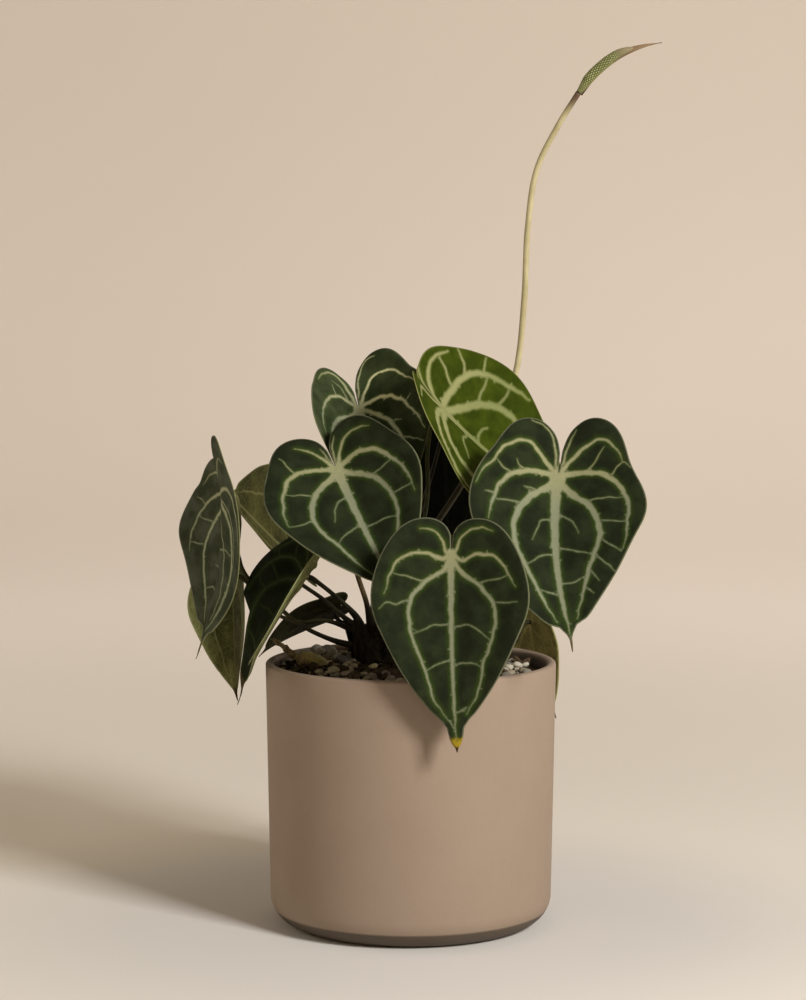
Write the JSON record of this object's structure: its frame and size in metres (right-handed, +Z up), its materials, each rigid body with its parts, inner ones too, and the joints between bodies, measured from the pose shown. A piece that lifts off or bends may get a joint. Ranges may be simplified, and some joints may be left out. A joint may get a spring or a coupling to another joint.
{
  "type": "potted anthurium clarinervium",
  "caption": "Houseplant with heart-shaped dark velvety leaves and pale veins, a tall flower stalk, and gritty mix in a plain round pot.",
  "frame": {"origin": "centre of the pot's flat base", "axes": "+Z up from the base; -Y is the plant's front, with +X to its right as seen from the front"},
  "size_m": [0.2315, 0.2047, 0.4229],
  "materials": {
    "pot": "matte, lightly grained, unglazed-looking",
    "potting_mix": "rough bark and soil with gravel on top",
    "rhizome": "rough, dark, fibrous",
    "mature_leaf": "velvety, with pale satin veins",
    "young_leaf": "soft satin, with pale veins",
    "petiole": "smooth, satin",
    "peduncle": "smooth, satin",
    "spadix": "finely knobbed, satin",
    "spathe": "dry, satin",
    "dead_root": "rough, dry",
    "yellow_stone": "matte, speckled"
  },
  "bodies": {
    "root": {"pot": "pot", "potting_mix": "potting_mix", "rhizome": "rhizome", "leaf_front": "mature_leaf", "petiole_front": "petiole", "leaf_right": "mature_leaf", "petiole_right": "petiole", "leaf_mid_left": "mature_leaf", "petiole_mid_left": "petiole", "leaf_top_left": "mature_leaf", "petiole_top_left": "petiole", "leaf_young": "young_leaf", "petiole_young": "petiole", "leaf_far_left": "mature_leaf", "petiole_far_left": "petiole", "leaf_far_left_low": "mature_leaf", "petiole_far_left_low": "petiole", "leaf_hanging_left": "mature_leaf", "petiole_hanging_left": "petiole", "leaf_back_left": "mature_leaf", "petiole_back_left": "petiole", "leaf_low_left": "mature_leaf", "petiole_low_left": "petiole", "leaf_back_right": "mature_leaf", "petiole_back_right": "petiole", "leaf_back_mid": "mature_leaf", "petiole_back_mid": "petiole", "peduncle": "peduncle", "spadix": "spadix", "spathe": "spathe", "dead_root": "dead_root", "yellow_stone": "yellow_stone"}
  },
  "joints": []
}
